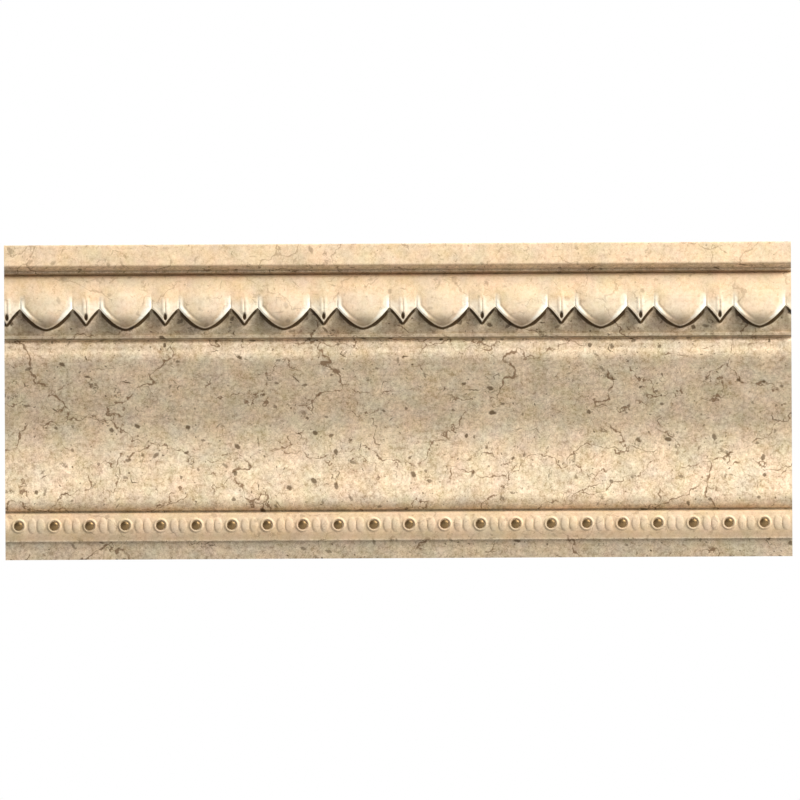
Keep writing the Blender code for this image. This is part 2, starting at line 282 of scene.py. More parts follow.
# Shares, from 0 to 1, of what the carver's tools leave on an egg and a dart
def carvingShares(offset, level):
    size = eggAndDart
    fromEgg = np.abs(fromMiddle(offset, eggPitch, 0.0))
    fromDart = eggPitch / 2 - fromEgg
    onEgg = fromEgg < size["eggWidth"] / 2
    distance = outlineDistance(offset, level)
    stemFade = 1 - smoothShare(level, notchLevel, notchLevel + size["stemTop"])
    width = np.where(onEgg, size["eggRimWidth"], size["dartRimWidth"])
    rise = 0.3 + 0.7 * smoothShare(distance, 0.0, size["rimCrest"])
    rim = rise * (1 - smoothShare(distance, size["rimCrest"], width)) * stemFade
    flank = smoothShare(level, eggBottom + 0.8, eggBottom + 3.5)
    shell = bump(distance - width - 0.25, 0.45) * onEgg * flank * stemFade
    reedWindow = bump(level - eggBottom - size["reedRise"], size["reedHalfHeight"])
    hollow = bump(np.hypot(
        fromDart / size["hollowHalfWidth"],
        (level - eggBottom - size["hollowRise"]) / size["hollowHalfHeight"],
    ), 1.0)
    return {
        "fromEgg": fromEgg,
        "fromDart": fromDart,
        "onEgg": onEgg,
        "distance": distance,
        "stemFade": stemFade,
        "rim": rim,
        "flank": flank,
        "shell": shell,
        "reed": bump(fromDart - size["reedPlace"], size["reedHalfWidth"]) * reedWindow,
        "reedGroove": bump(fromDart, 0.22) * reedWindow,
        "hollow": hollow,
    }


def carvingRelief(offset, level):
    size = eggAndDart
    share = carvingShares(offset, level)
    egg = size["eggBulge"] * (1 - (share["fromEgg"] / (size["eggWidth"] / 2)) ** 2)
    dart = size["dartSwell"] * (1 - share["fromDart"] / (size["dartWidth"] / 2))
    swell = np.where(share["onEgg"], egg, dart)
    swell = swell * smoothShare(carvingTop - level, 0.0, ovolo["carvingFade"])
    bottomRim = size["eggBottomRimHeight"]
    eggRim = bottomRim + (size["eggRimHeight"] - bottomRim) * share["flank"]
    rim = share["rim"] * np.where(share["onEgg"], eggRim, size["dartRimHeight"])
    stem = bump(share["distance"], 0.3) * (level > notchLevel) * share["stemFade"]
    relief = swell + rim - size["stemDepth"] * stem - size["shellGroove"] * share["shell"]
    relief += size["reedHeight"] * share["reed"] - size["reedGroove"] * share["reedGroove"]
    return relief - size["hollowDepth"] * share["hollow"] ** 0.7


# How far across a reel a point is, from 0 at its middle to 1 at its leaf-shaped edge
def acrossReel(offset, level):
    size = beadAndReel
    leaf = np.clip(1 - ((level - beadLevel) / reelReach) ** 2, 0, 1)
    fromBead = np.abs(fromMiddle(offset, beadPitch, 0.0))
    reelMiddle = size["beadDiameter"] / 2 + size["beadGap"] + size["reelWidth"] / 2
    return np.abs(fromBead - reelMiddle) / (size["reelWidth"] / 2 * np.sqrt(leaf) + 1e-6), leaf


def reelGroove(offset, level):
    across, leaf = acrossReel(offset, level)
    return bump(across - 1.0, 0.35) * np.sqrt(leaf)


def beadRelief(offset, level):
    size = beadAndReel
    fromBead = np.abs(fromMiddle(offset, beadPitch, 0.0))
    fromLevel = level - beadLevel
    radius = np.hypot(fromBead, fromLevel)
    ring = np.clip(1 - ((radius - size["ringRadius"]) / size["ringHalfWidth"]) ** 2, 0, 1)
    pearl = np.sqrt(np.clip(1 - (radius / size["pearlRadius"]) ** 2, 0, 1))
    seat = 1 - smoothShare(radius, size["pearlRadius"] - 0.1, size["ringRadius"])
    across, leaf = acrossReel(offset, level)
    reel = np.clip(1 - across ** size["reelPower"], 0, 1) * leaf ** 0.5
    return (
        size["ringHeight"] * ring
        + size["pearlHeight"] * pearl
        - size["pearlSeat"] * seat
        + size["reelHeight"] * reel
    )


# Places spread from one end to the other so that neighbours are about a step apart
def spread(start, end, step):
    count = max(1, round(abs(end - start) / step))
    return list(np.linspace(start, end, count + 1)[1:])


# A grid of quads on the face from arrays of places, depths and levels
def gridMesh(name, place, depth, level):
    rowCount, columnCount = level.shape
    points = np.stack([place, -depth, level - moulding["height"] / 2], 2).reshape(-1, 3) * mm
    index = np.arange(rowCount * columnCount).reshape(rowCount, columnCount)
    corners = np.stack([index[:-1, :-1], index[1:, :-1], index[1:, 1:], index[:-1, 1:]], 2)
    mesh = bpy.data.meshes.new(name)
    mesh.from_pydata(points.tolist(), [], corners.reshape(-1, 4).tolist())
    return mesh


# One egg with half a dart on both sides
def eggUnitMesh():
    eggHalf = eggAndDart["eggWidth"] / 2
    oneSide = spread(0.0, eggHalf - 3.0, 0.45) + spread(eggHalf - 3.0, eggPitch / 2, 0.23)
    columns = np.array([-offset for offset in reversed(oneSide)] + [0.0] + oneSide)
    edge = scallopLevel(columns)
    nearEdge = [0.0, 0.12, 0.24, 0.37, 0.5, 0.65, 0.8, 1.0, 1.2, 1.45, 1.7, 2.0]
    rows = []
    for share in np.linspace(0, 1, 32)[:-1]:
        rows.append(carvingTop + (edge + nearEdge[-1] - carvingTop) * share)
    rows += [edge + above for above in reversed(nearEdge)]
    level = np.array(rows)
    place = np.tile(columns, (len(rows), 1))
    depth = ovoloDepth(level) + carvingRelief(place, level)
    depth[0] = ovoloDepth(level[0])
    wallFoot = edge - eggAndDart["wallHeight"]
    wall = []
    wallDepth = []
    for share in (0.25, 0.5, 0.75, 1.0):
        wall.append(edge + (wallFoot - edge) * share)
        sweep = 1 - (1 - share) ** 1.6
        wallDepth.append(depth[-1] + (groundDepth(wallFoot) - depth[-1]) * sweep)
    under = [wallFoot - below for below in (0.18, 0.36, 0.54, 0.74, 0.98)]
    ground = under + [under[-1] + (groundBottom - under[-1]) * share for share in (0.3, 0.65, 1.0)]
    level = np.vstack([level, wall, ground])
    depth = np.vstack([depth, wallDepth, groundDepth(np.array(ground))])
    place = np.tile(columns, (len(level), 1))
    return gridMesh("eggAndDart", place, depth, level)


# One bead with the two reels beside it
def beadUnitMesh():
    size = beadAndReel
    beadHalf = size["beadDiameter"] / 2
    reelStart = beadHalf + size["beadGap"]
    reelEnd = reelStart + size["reelWidth"]
    oneSide = spread(0.0, beadHalf, 0.15) + spread(beadHalf, reelStart, 0.28)
    oneSide += spread(reelStart, reelStart + 0.5, 0.12) + spread(reelStart + 0.5, reelEnd - 0.5, 0.42)
    oneSide += spread(reelEnd - 0.5, reelEnd, 0.12)
    columns = np.array([-offset for offset in reversed(oneSide)] + [0.0] + oneSide)
    levels = beadLevel + np.linspace(reelReach, -reelReach, 31)
    level = np.tile(levels[:, None], (1, len(columns)))
    place = np.tile(columns, (len(levels), 1))
    depth = astragalDepth(level) + beadRelief(place, level)
    depth[0] = astragalDepth(level[0])
    depth[-1] = astragalDepth(level[-1])
    return gridMesh("beadAndReel", place, depth, level)


# Geometry Nodes: repeats the object's own mesh along the moulding, welds the joins between the
# repeats and gives the result its material
def repeatTree():
    tree = bpy.data.node_groups.new("repeatAlongMoulding", "GeometryNodeTree")
    sockets = tree.interface
    sockets.new_socket("Geometry", in_out="INPUT", socket_type="NodeSocketGeometry")
    sockets.new_socket("Count", in_out="INPUT", socket_type="NodeSocketInt")
    sockets.new_socket("First", in_out="INPUT", socket_type="NodeSocketVector")
    sockets.new_socket("Pitch", in_out="INPUT", socket_type="NodeSocketVector")
    sockets.new_socket("Weld", in_out="INPUT", socket_type="NodeSocketFloat")
    sockets.new_socket("Skin", in_out="INPUT", socket_type="NodeSocketMaterial")
    sockets.new_socket("Geometry", in_out="OUTPUT", socket_type="NodeSocketGeometry")
    given = tree.nodes.new("NodeGroupInput")
    line = tree.nodes.new("GeometryNodeMeshLine")
    instance = tree.nodes.new("GeometryNodeInstanceOnPoints")
    weld = tree.nodes.new("GeometryNodeMergeByDistance")
    real = tree.nodes.new("GeometryNodeRealizeInstances")
    skin = tree.nodes.new("GeometryNodeSetMaterial")
    result = tree.nodes.new("NodeGroupOutput")
    line.mode = "OFFSET"
    links = tree.links
    links.new(given.outputs["Count"], line.inputs["Count"])
    links.new(given.outputs["First"], line.inputs["Start Location"])
    links.new(given.outputs["Pitch"], line.inputs["Offset"])
    links.new(line.outputs["Mesh"], instance.inputs["Points"])
    links.new(given.outputs["Geometry"], instance.inputs["Instance"])
    links.new(instance.outputs["Instances"], real.inputs["Geometry"])
    links.new(real.outputs["Geometry"], weld.inputs["Geometry"])
    links.new(given.outputs["Weld"], weld.inputs["Distance"])
    links.new(weld.outputs["Geometry"], skin.inputs["Geometry"])
    links.new(given.outputs["Skin"], skin.inputs["Material"])
    links.new(skin.outputs["Geometry"], result.inputs["Geometry"])
    return tree


# A unit mesh repeated from end to end, as a plain mesh that overhangs both ends a little
def repeatedMesh(unit, tree, pitch, middle, skin):
    half = moulding["length"] / 2
    lowest = math.floor((-half - middle) / pitch)
    count = math.ceil((half - middle) / pitch) - lowest + 1
    holder = bpy.data.objects.new(unit.name, unit)
    scene.collection.objects.link(holder)
    modifier = holder.modifiers.new("repeat", "NODES")
    modifier.node_group = tree
    values = {
        "Count": count,
        "First": ((middle + lowest * pitch) * mm, 0.0, 0.0),
        "Pitch": (pitch * mm, 0.0, 0.0),
        "Weld": 0.00001,
        "Skin": skin,
    }
    for item in tree.interface.items_tree:
        if item.in_out == "INPUT" and item.name in values:
            modifier[item.identifier] = values[item.name]
    evaluated = holder.evaluated_get(bpy.context.evaluated_depsgraph_get())
    mesh = bpy.data.meshes.new_from_object(evaluated)
    holder.modifiers.remove(modifier)
    bpy.data.objects.remove(holder)
    return mesh


def pointTowards(start, end, reach, limit):
    share = min(reach / math.dist(start, end), limit)
    return [start[axis] + (end[axis] - start[axis]) * share for axis in range(2)]


# The rounded corner of the profile, as points down a curve that reaches the same way both sides
def rounded(before, corner, after, reach, steps=moulding["roundSteps"], limitAfter=0.5):
    start = pointTowards(corner, before, reach, 0.5)
    end = pointTowards(corner, after, reach, limitAfter)
    points = []
    for step in range(steps + 1):
        along = step / steps
        weights = ((1 - along) ** 2, 2 * along * (1 - along), along ** 2)
        points.append(tuple(
            weights[0] * start[axis] + weights[1] * corner[axis] + weights[2] * end[axis]
            for axis in range(2)
        ))
    return points


# The plain stretches of the profile, as (depth, level) from the ceiling down
def ceilingProfile():
    top = (moulding["projection"], moulding["height"])
    filletFoot = (moulding["projection"], filletBottom)
    soffit = (soffitDepth, soffitBottom)
    crevice = (ovoloCreviceDepth, ovoloCrevice)
    carving = (float(ovoloDepth(carvingTop)), carvingTop)
    profile = rounded((0.0, moulding["height"]), top, filletFoot, moulding["topEdgeRound"])
    profile += rounded(top, filletFoot, soffit, fillet["edgeRound"])
    profile += [soffit, (soffitDepth, stepBottom), crevice]
    profile += rounded(crevice, (shoulderDepth, shoulder), carving, ovolo["shoulderRound"])
    return profile


def coveProfile():
    creviceUnderLip = (noseCreviceDepth, noseCrevice)
    noseUpper = (noseDepth, noseTop)
    noseLower = (noseDepth, noseBottom)
    coveTurn = (cove["projection"], coveCorner)
    rollTurn = (cove["projection"], rollCorner)
    rollFoot = (rollCreviceDepth, rollBottom)
    astragalUpper = (astragalFaceDepth, astragalTop)
    beadTop = (astragalFaceDepth, beadBandTop)
    crevice = (rollCreviceDepth, astragalTop + cove["creviceHeight"] / 2)
    profile = [(lipDepth, lipTop), (lipDepth, lipBottom), creviceUnderLip]
    profile += rounded(creviceUnderLip, noseUpper, noseLower, lipAndNose["noseTopRound"])
    profile += rounded(noseUpper, noseLower, coveTurn, lipAndNose["noseLowerRound"])
    profile += rounded(noseLower, coveTurn, rollTurn, cove["round"], cove["roundSteps"])
    profile += rounded(coveTurn, rollTurn, rollFoot, cove["rollRound"], limitAfter=1.0)
    profile.append(crevice)
    profile += rounded(crevice, astragalUpper, beadTop, astragal["topRound"])
    return profile


def footProfile():
    return [
        (float(astragalDepth(astragalFaceBottom)), astragalFaceBottom),
        (astragalSlopeDepth, footTop),
        (foot["projection"] + foot["batter"], footTop - foot["stepHeight"]),
        (foot["projection"], 0.0),
    ]


# Extra points on long straight stretches of a profile, which the finish needs to vary over
def refined(profile, step):
    points = [profile[0]]
    for start, end in zip(profile, profile[1:]):
        count = max(1, math.ceil(math.dist(start, end) / step))
        for part in range(1, count + 1):
            points.append(tuple(a + (b - a) * part / count for a, b in zip(start, end)))
    return points


# A carved strip cut square at both ends of the moulding and added to the body
def addStrip(body, mesh):
    strip = bmesh.new()
    strip.from_mesh(mesh)
    half = moulding["length"] / 2 * mm
    for side in (-1, 1):
        bmesh.ops.bisect_plane(
            strip,
            geom=strip.verts[:] + strip.edges[:] + strip.faces[:],
            dist=moulding["closestColumns"] * mm,
            plane_co=(side * half, 0, 0),
            plane_no=(side, 0, 0),
            clear_outer=True,
        )
    for face in strip.faces:
        face.material_index = 0
    for vertex in strip.verts:
        if abs(abs(vertex.co.x) - half) < moulding["closestColumns"] * mm:
            vertex.co.x = math.copysign(half, vertex.co.x)
    strip.to_mesh(mesh)
    strip.free()
    body.from_mesh(mesh)


# The points of the body that lie on one straight row, from left to right
def straightRow(body, level):
    height = (level - moulding["height"] / 2) * mm
    row = [v for v in body.verts if abs(v.co.z - height) < 1e-7 and v.is_boundary]
    return sorted(row, key=lambda v: v.co.x)


def plainRow(body, depth, level, places):
    height = (level - moulding["height"] / 2) * mm
    return [body.verts.new((place * mm, -depth * mm, height)) for place in places]


# Faces between two straight rows, always stepping on along the row that lags behind
def fillRows(body, upper, lower, material):
    atUpper = 0
    atLower = 0
    sameColumns = len(upper) == len(lower)
    while atUpper < len(upper) - 1 or atLower < len(lower) - 1:
        if sameColumns:
            corners = (upper[atUpper], lower[atLower], lower[atLower + 1], upper[atUpper + 1])
            atUpper += 1
            atLower += 1
        elif atLower == len(lower) - 1 or (
            atUpper < len(upper) - 1 and upper[atUpper + 1].co.x < lower[atLower + 1].co.x
        ):
            corners = (upper[atUpper], lower[atLower], upper[atUpper + 1])
            atUpper += 1
        else:
            corners = (upper[atUpper], lower[atLower], lower[atLower + 1])
            atLower += 1
        body.faces.new(corners).material_index = material


def fillPlain(body, rows, material):
    for upper, lower in zip(rows, rows[1:]):
        fillRows(body, upper, lower, material)


# The whole moulding as one closed mesh: material 0 is the printed skin, material 1 the bare core
def mouldingBody(eggStrip, beadStrip):
    body = bmesh.new()
    addStrip(body, eggStrip)
    addStrip(body, beadStrip)
    eggTop = straightRow(body, carvingTop)
    eggFoot = straightRow(body, groundBottom)
    beadTop = straightRow(body, beadBandTop)
    beadFoot = straightRow(body, beadBandBottom)
    half = moulding["length"] / 2
    places = np.linspace(-half, half, moulding["plainColumns"])
    # the strips' own straight rows stand for the ends of the plain stretches beside them
    ceiling = [plainRow(body, *point, places) for point in refined(ceilingProfile(), 0.3)]
    middle = [plainRow(body, *point, places) for point in refined(coveProfile(), 0.6)]
    lower = [plainRow(body, *point, places) for point in refined(footProfile(), 0.3)]
    backTop = plainRow(body, 0.0, moulding["height"], places)
    backFoot = plainRow(body, 0.0, 0.0, places)
    fillPlain(body, ceiling + [eggTop], 0)
    fillPlain(body, [eggFoot] + middle + [beadTop], 0)
    fillPlain(body, [beadFoot] + lower, 0)
    fillPlain(body, [backTop, ceiling[0]], 1)
    fillPlain(body, [lower[-1], backFoot, backTop], 1)
    for side in (-1, 1):
        rim = [
            edge for edge in body.edges
            if edge.is_boundary and all(abs(v.co.x - side * half * mm) < 1e-6 for v in edge.verts)
        ]
        made = bmesh.ops.edgeloop_fill(body, edges=rim)
        for face in made["faces"]:
            face.material_index = 1
    bmesh.ops.recalc_face_normals(body, faces=body.faces)
    return body


# The face's profile from the ceiling down, as levels and lengths along its unrolled surface
def unrolledProfile():
    levels = np.linspace(carvingTop, groundBottom, 60)[1:-1]
    carved = [(float(ovoloDepth(max(level, eggBottom))), float(level)) for level in levels]
    levels = np.linspace(beadBandTop, beadBandBottom, 8)
    beads = [(float(astragalDepth(level)), float(level)) for level in levels]
    profile = np.array(ceilingProfile() + carved + coveProfile() + beads + footProfile())
    steps = np.hypot(*np.diff(profile, axis=0).T)
    return profile[:, 1], np.concatenate([[0.0], np.cumsum(steps)])


# Patina and painted shade in the crevices and on the carving: (level, reach above, reach below, strength)
# for each crevice
patinaAndShade = {
    "crevices": (
        (soffitBottom - 0.1, 0.9, 0.4, 0.13),
        (ovoloCrevice + 0.4, 0.7, 0.9, 0.13),
        (ovoloCrevice - 0.6, 0.6, 1.4, 0.05),
        (noseCrevice + 0.6, 0.5, 0.5, 0.20),
        (noseTop - 0.1, 1.0, 2.2, 0.10),
        (rollBottom - 0.2, 0.7, 0.4, 0.31),
        (astragalTop, 0.4, 0.8, 0.09),
        (footTop + 1.2, 1.6, 1.2, 0.035),
        (footTop - 0.5, 0.3, 2.6, 0.03),
    ),
    "fullShare": 0.15,        # of a crevice's reach, over which its patina and painted shade keep their strength
    "ground": 0.18,           # patina and painted shade on the open ground; it thins out towards the shaded carving
    "groundStart": 0.6,
    "groundEnd": 3.2,
    "lip": 0.185,
    "outline": 0.88,
    "outlineWidth": 1.1,      # beside the flanks, and under the middle of an egg
    "outlineBottomWidth": 0.75,
    "outlineSoftness": 0.18,
    "outlineStart": 0.9,      # the outline's patina and painted shadow are whole this far from a notch's point
    "outlineAtNotch": 0.15,
    "hollow": 0.85,
    "stem": 0.06,
    "reedGroove": 0.05,
    "shell": 0.04,
    "ring": 0.08,
    "reel": 0.04,
    "eggShade": 0.17,
    "eggShadeHalfWidth": 5.5,
    "eggShadeStart": 1.5,     # above the eggs' bottom
    "eggShadeEnd": 5.5,
}

# Pale paint, partly painted highlights on the rims, darts, reeds and reels, as shares of full cover
palePaintAndHighlight = {
    "bandMiddle": 0.4,        # the band along an egg's flanks, measured from its outline
    "bandHalfWidth": 0.62,
    "bandSpread": (1.0, 1.6),  # how much wider it is at the notch, on the left and the right; wider on the right, where the painted highlight faces the light
    "bandStart": (2.4, 1.2),   # how far above the eggs' bottom it starts, lower on the lit right side
    "bandFade": 2.2,
    "bandOnDart": 0.12,
    "dart": 0.45,
    "dartFade": 3.5,
    "eggFace": 0.2,
    "eggFaceRise": 6.5,
    "eggFaceHalfWidth": 7.0,
    "eggFaceHalfHeight": 5.5,
    "bottomEdge": 0.25,
    "bottomEdgeHalfWidth": 5.0,
    "reed": 0.5,
    "beadBand": 0.04,
    "reel": 0.08,
}


# Patina and painted shade along the crevices, strongest at each crevice's level
def creviceWashAndShade(level):
    washAndShade = np.zeros_like(level)
    for middle, above, below, strength in patinaAndShade["crevices"]:
        reach = np.where(level > middle, above, below)
        thinned = smoothShare(np.abs(level - middle), patinaAndShade["fullShare"] * reach, reach)
        washAndShade = np.maximum(washAndShade, strength * (1 - thinned))
    return washAndShade


# Patina and painted shadow under the carved outline, strongest under the flanks and thin at the notches
def outlineWashAndShadow(share):
    flankward = np.where(share["onEgg"], smoothShare(share["fromEgg"], 1.5, 4.5), 0.25)
    bottomWidth = patinaAndShade["outlineBottomWidth"]
    width = bottomWidth + (patinaAndShade["outlineWidth"] - bottomWidth) * flankward
    soft = patinaAndShade["outlineSoftness"]
    outline = 1 - smoothShare(share["distance"], width - soft, width + soft)
    fromNotch = np.abs(share["fromEgg"] - eggAndDart["eggWidth"] / 2)
    thin = patinaAndShade["outlineAtNotch"]
    whole = thin + (1 - thin) * smoothShare(fromNotch, 0.25, patinaAndShade["outlineStart"])
    return patinaAndShade["outline"] * outline * whole


# Patina and painted shade on the carving: on the ground and under the outline outside the eggs, and in the
# dart's hollow, the stems, the fine grooves and the shaded lower face of each egg
def carvingWashAndShade(share, level, inside, hollow):
    distance = share["distance"]
    ground = patinaAndShade["ground"] * smoothShare(distance, patinaAndShade["groundStart"], patinaAndShade["groundEnd"])
    stem = patinaAndShade["stem"] * bump(distance, 0.3) * share["stemFade"] * (level > notchLevel)
    eggShade = patinaAndShade["eggShade"] * bump(share["fromEgg"], patinaAndShade["eggShadeHalfWidth"])
    eggShade *= 1 - smoothShare(level - eggBottom, patinaAndShade["eggShadeStart"], patinaAndShade["eggShadeEnd"])
    eggShade *= smoothShare(distance, 0.2, 0.6)
    fine = patinaAndShade["reedGroove"] * share["reedGroove"] + patinaAndShade["shell"] * share["shell"]
    outside = np.maximum(ground, outlineWashAndShadow(share)) * ~inside
    return np.maximum.reduce([outside, hollow, stem, eggShade * inside, fine * inside])


# Pale paint on the eggs' rims, the darts and the reeds, partly painted highlights that are wider on the lit
# right side
def carvingPaintAndHighlight(share, offset, level):
    paintAndHighlight = palePaintAndHighlight
    right = (offset > 0).astype(int)
    start = eggBottom + np.take(paintAndHighlight["bandStart"], right)
    flank = smoothShare(level, start, start + paintAndHighlight["bandFade"])
    spread = smoothShare(level, eggBottom + 2.5, notchLevel + 0.5) * np.take(paintAndHighlight["bandSpread"], right)
    band = bump(share["distance"] - paintAndHighlight["bandMiddle"], paintAndHighlight["bandHalfWidth"] + spread) ** (1 + spread)
    band *= np.where(share["onEgg"], flank, paintAndHighlight["bandOnDart"]) * share["stemFade"] ** 0.6
    dart = 1 - smoothShare(level, notchLevel, notchLevel + paintAndHighlight["dartFade"])
    dart *= paintAndHighlight["dart"] * ~share["onEgg"]
    face = paintAndHighlight["eggFace"] * bump(share["fromEgg"], paintAndHighlight["eggFaceHalfWidth"])
    face *= bump(level - eggBottom - paintAndHighlight["eggFaceRise"], paintAndHighlight["eggFaceHalfHeight"])
    edge = paintAndHighlight["bottomEdge"] * bump(share["distance"] - 0.1, 0.3)
    edge *= bump(share["fromEgg"], paintAndHighlight["bottomEdgeHalfWidth"])
    return np.maximum.reduce([band, dart, face, edge, paintAndHighlight["reed"] * share["reed"] ** 0.8])


# Patina and painted shade in the grooves round the pearls and reels, pale paint with painted highlights on
# the bead band and the reels' crests, and gilding on the pearls
def beadFinish(place, level):
    offset = fromMiddle(place, beadPitch, beadMiddle)
    fromPearl = np.hypot(offset, level - beadLevel) - beadAndReel["pearlRadius"]
    inBand = (level < beadBandTop) & (level > beadBandBottom)
    across, leaf = acrossReel(offset, level)
    ring = patinaAndShade["ring"] * bump(fromPearl - 0.1, 0.3)
    reel = patinaAndShade["reel"] * inBand * reelGroove(offset, level)
    paintAndHighlight = inBand * (palePaintAndHighlight["beadBand"] + palePaintAndHighlight["reel"] * leaf * bump(across, 1.0))
    return np.maximum(ring, reel), paintAndHighlight, 1 - smoothShare(fromPearl, -0.15, 0.1)


# How quiet the print is, and a warm tint painted where shade falls: whole on the soffit and the crevice
# under it, a third as strong over the astragal and its beads
def printShares(level, inside):
    carving = smoothShare(level, eggBottom - 1.0, eggBottom + 0.5)
    carving *= 1 - smoothShare(level, ovoloCrevice, stepBottom)
    beads = smoothShare(level, footTop, footTop + 0.6) * (1 - smoothShare(level, astragalTop, rollBottom))
    fillets = 0.8 * smoothShare(level, filletBottom - 0.5, filletBottom)
    soffit = smoothShare(level, ovoloCrevice - 1.0, ovoloCrevice)
    soffit *= 1 - smoothShare(level, filletBottom, filletBottom + 0.4)
    return np.maximum.reduce([carving * inside, beads, fillets]), np.maximum(soffit, 0.3 * beads)


# What the finish needs to know at each point of the face, as shares from 0 to 1: patina with painted shade,
# pale paint with painted highlights, gilding, a quiet print and a warm tint painted where shade falls
def finishShares(place, level):
    offset = fromMiddle(place, eggPitch, eggMiddle)
    carved = (level < carvingTop) & (level > groundBottom - 0.01)
    inside = level > scallopLevel(offset) - 0.02
    share = carvingShares(offset, np.where(carved, level, carvingTop))
    hollow = patinaAndShade["hollow"] * np.minimum(1.8 * share["hollow"], 1.0) * carved
    lip = patinaAndShade["lip"] * (level <= groundBottom) * (level >= lipBottom - 0.1)
    beadWashAndShade, beadPaintAndHighlight, gold = beadFinish(place, level)
    carvedWashAndShade = carvingWashAndShade(share, level, inside, hollow) * carved
    carvedPaintAndHighlight = carvingPaintAndHighlight(share, offset, level) * carved * inside
    quiet, warmShadeTint = printShares(level, inside)
    return {
        # patina with painted shade, and pale paint that is partly painted highlights
        "washAndShade": np.maximum.reduce([creviceWashAndShade(level), carvedWashAndShade, lip, beadWashAndShade]),
        "pearl": np.maximum(carvedPaintAndHighlight * (1 - np.clip(hollow * 1.5, 0, 1)), beadPaintAndHighlight),
        "gold": gold,
        "quiet": quiet,
        "warmShadeTint": warmShadeTint,
    }


def addFinish(mesh):
    count = len(mesh.vertices)
    points = np.empty(count * 3, np.float32)
    mesh.vertices.foreach_get("co", points)
    points = points.reshape(-1, 3).astype(float) / mm
    place = points[:, 0]
    level = points[:, 2] + moulding["height"] / 2
    for name, values in finishShares(place, level).items():
        layer = mesh.attributes.new(name, "FLOAT", "POINT")
        layer.data.foreach_set("value", np.clip(values, 0, 1).astype(np.float32))
    levels, lengths = unrolledProfile()
    along = np.interp(-level, -levels, lengths)
    corners = np.empty(len(mesh.loops), np.int32)
    mesh.loops.foreach_get("vertex_index", corners)
    unrolled = np.stack([(place + moulding["length"] / 2) * mm, along * mm], 1)[corners]
    uv = mesh.uv_layers.new(name="unrolled")
    uv.data.foreach_set("uv", unrolled.astype(np.float32).ravel())


def feed(tree, socket, value):
    if isinstance(value, bpy.types.NodeSocket):
        tree.links.new(value, socket)
    else:
        socket.default_value = value


# A node with its settings, and its inputs linked or set by name or number
def addNode(tree, kind, inputs=None, **settings):
    node = tree.nodes.new(kind)
    for name, value in settings.items():
        setattr(node, name, value)
    for name, value in (inputs or {}).items():
        feed(tree, node.inputs[name], value)
    return node


def maths(tree, operation, first, second=0.0, third=None, clamp=False):
    inputs = {0: first, 1: second}
    if third is not None:
        inputs[2] = third
    return addNode(tree, "ShaderNodeMath", inputs, operation=operation, use_clamp=clamp).outputs[0]


def vectorMaths(tree, operation, first, second):
    node = addNode(tree, "ShaderNodeVectorMath", {0: first, 1: second}, operation=operation)
    return node.outputs["Vector"]


def scaled(tree, vector, scale):
    inputs = {0: vector, "Scale": scale}
    return addNode(tree, "ShaderNodeVectorMath", inputs, operation="SCALE").outputs["Vector"]


# A value's share of the way from one value to another, with soft ends
def ramp(tree, value, start, end, low=0.0, high=1.0):
    node = addNode(tree, "ShaderNodeMapRange", interpolation_type="SMOOTHSTEP")
    given = {"Value": value, "From Min": start, "From Max": end, "To Min": low, "To Max": high}
    for name, number in given.items():
        feed(tree, node.inputs[name], number)
    return node.outputs["Result"]


def mixColour(tree, share, first, second, blend="MIX"):
    node = addNode(tree, "ShaderNodeMix", data_type="RGBA", blend_type=blend)
    feed(tree, node.inputs[0], share)
    feed(tree, node.inputs[6], first)
    feed(tree, node.inputs[7], second)
    return node.outputs[2]


def noise(tree, vector, size, detail=2.0, roughness=0.5):
    scale = maths(tree, "DIVIDE", 1.0, size)
    inputs = {"Vector": vector, "Scale": scale, "Detail": detail, "Roughness": roughness}
    return addNode(tree, "ShaderNodeTexNoise", inputs, noise_dimensions="2D")


# A shader group with named inputs and outputs: {name: (socket kind, default value)}
def shaderGroup(name, inputs, outputs):
    tree = bpy.data.node_groups.new(name, "ShaderNodeTree")
    for label, (kind, value) in inputs.items():
        socket = tree.interface.new_socket(label, in_out="INPUT", socket_type="NodeSocket" + kind)
        if value is not None:
            socket.default_value = value
    for label in outputs:
        tree.interface.new_socket(label, in_out="OUTPUT", socket_type="NodeSocketFloat")
    return tree, tree.nodes.new("NodeGroupInput").outputs, tree.nodes.new("NodeGroupOutput").inputs


# Cloudy shade around zero
def mottleGroup():
    tree, given, result = shaderGroup(
        "stoneMottle",
        {"Vector": ("Vector", None), "Size": ("Float", 10.0), "Gain": ("Float", 1.0)},
        ["Shade"],
    )
    cloud = noise(tree, given["Vector"], given["Size"], 3.0, 0.6)
    shade = maths(tree, "SUBTRACT", cloud.outputs[0], 0.5)
    feed(tree, result["Shade"], maths(tree, "MULTIPLY", shade, given["Gain"]))
    return tree


